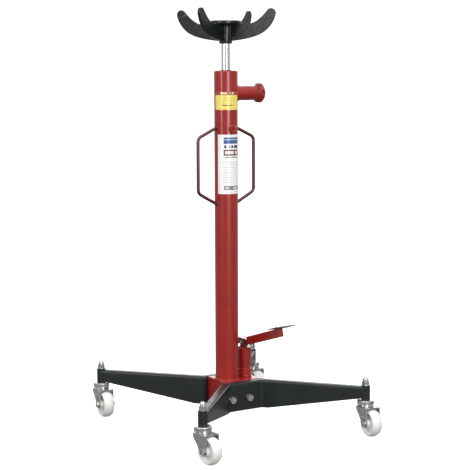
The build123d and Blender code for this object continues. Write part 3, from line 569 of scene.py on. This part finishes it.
def backdrop():
    """Round white studio floor that reaches past the horizon on every side."""
    builder = bmesh.new()
    floor_r = 40
    rim = circle(AXIS, floor_r, 72)
    builder.faces.new([builder.verts.new(point) for point in rim])
    mesh = bpy.data.meshes.new("studio_floor")
    builder.to_mesh(mesh)
    builder.free()
    floor = bpy.data.objects.new("studio_floor", mesh)
    bpy.context.scene.collection.objects.link(floor)
    mesh.materials.append(plain_material("studio_white", (0.9, 0.9, 0.9), 0.9, 0.62))
    floor.visible_diffuse = False
    floor.visible_glossy = False


AWAY = (-0.851, 0.526)
VIEW_TURN = atan2(-0.526, 0.851)


def softbox(name, turn, distance, height, width, tall, power, aim=0.65):
    """Rectangular area light, placed by its angle from the camera's direction and aimed at the column."""
    data = bpy.data.lights.new(name, "AREA")
    data.shape = "RECTANGLE"
    data.size, data.size_y = width, tall
    data.energy = power
    lamp = bpy.data.objects.new(name, data)
    bpy.context.scene.collection.objects.link(lamp)
    a = VIEW_TURN + radians(turn)
    lamp.location = AXIS + Vector((cos(a) * distance, sin(a) * distance, height))
    target = AXIS + Vector((0, 0, aim))
    lamp.rotation_euler = (target - lamp.location).to_track_quat("-Z", "Y").to_euler()


def studio_air():
    """World light: dim below the horizon, bright overhead and behind, plain white to the camera."""
    world = bpy.data.worlds.new("studio_air")
    world.use_nodes = True
    bpy.context.scene.world = world
    tree = world.node_tree
    background = tree.nodes["Background"]
    background.inputs["Color"].default_value = (1, 1, 1, 1)
    direction = tree.nodes.new("ShaderNodeTexCoord").outputs["Generated"]
    split = tree.nodes.new("ShaderNodeSeparateXYZ")
    tree.links.new(direction, split.inputs["Vector"])
    height = split.outputs["Z"]
    facing = tree.nodes.new("ShaderNodeVectorMath")
    facing.operation = "DOT_PRODUCT"
    tree.links.new(direction, facing.inputs[0])
    facing.inputs[1].default_value = (*AWAY, 0)

    def ramp(value, low, high, to_low, to_high, shape):
        made = tree.nodes.new("ShaderNodeMapRange")
        made.interpolation_type = shape
        for key, number in (("From Min", low), ("From Max", high), ("To Min", to_low), ("To Max", to_high)):
            made.inputs[key].default_value = number
        tree.links.new(value, made.inputs["Value"])
        return made.outputs["Result"]

    def math(operation, *values):
        made = tree.nodes.new("ShaderNodeMath")
        made.operation = operation
        for index, value in enumerate(values):
            if isinstance(value, (int, float)):
                made.inputs[index].default_value = value
            else:
                tree.links.new(value, made.inputs[index])
        return made.outputs["Value"]

    sky = ramp(height, -0.5, 0.9, 0.2, 0.92, "LINEAR")
    behind = ramp(facing.outputs["Value"], 0.6, 0.8, 0, 1, "SMOOTHSTEP")
    above = ramp(height, 0.08, 0.16, 0, 1, "SMOOTHSTEP")
    below = ramp(height, 0.48, 0.34, 0, 1, "SMOOTHSTEP")
    wall = math("MULTIPLY", math("MULTIPLY", behind, above), below)
    seen = tree.nodes.new("ShaderNodeMix")
    tree.links.new(tree.nodes.new("ShaderNodeLightPath").outputs["Is Camera Ray"], seen.inputs["Factor"])
    tree.links.new(math("MULTIPLY_ADD", wall, 2.2, sky), seen.inputs["A"])
    seen.inputs["B"].default_value = 1.2
    tree.links.new(seen.outputs["Result"], background.inputs["Strength"])


def lighting():
    """Even studio air with two upright strips in front and a ceiling panel."""
    studio_air()
    softbox("key_right", 24, 3.6, 1.5, 0.9, 2.2, 62)
    softbox("key_left", -43, 3.6, 1.5, 0.4, 1.8, 29)
    softbox("top", 10, 0.9, 3.4, 2.4, 2.4, 40, 0.4)


def camera():
    """Looks at the column from the pedal side, a little to the near side, and slightly downwards."""
    away = Vector((*AWAY, 0)).normalized()
    right = Vector((-away.y, away.x, 0)) * -1
    distance, shift, height = 4.0954, 0.0257, 1.0844
    pitch, roll = radians(7.002), radians(-0.19)
    data = bpy.data.cameras.new("camera")
    data.sensor_width = 36.0
    data.lens = 105.2
    data.clip_end = 60
    lens = bpy.data.objects.new("camera", data)
    bpy.context.scene.collection.objects.link(lens)
    lens.location = AXIS - away * distance + right * shift + Vector((0, 0, height))
    look = away * cos(pitch) - Vector((0, 0, 1)) * sin(pitch)
    turn = look.to_track_quat("-Z", "Y").to_matrix().to_4x4()
    lens.rotation_euler = (turn @ Matrix.Rotation(roll, 4, "Z")).to_euler()
    bpy.context.scene.camera = lens


backdrop()
lighting()
camera()
bpy.context.scene.view_settings.view_transform = "Standard"
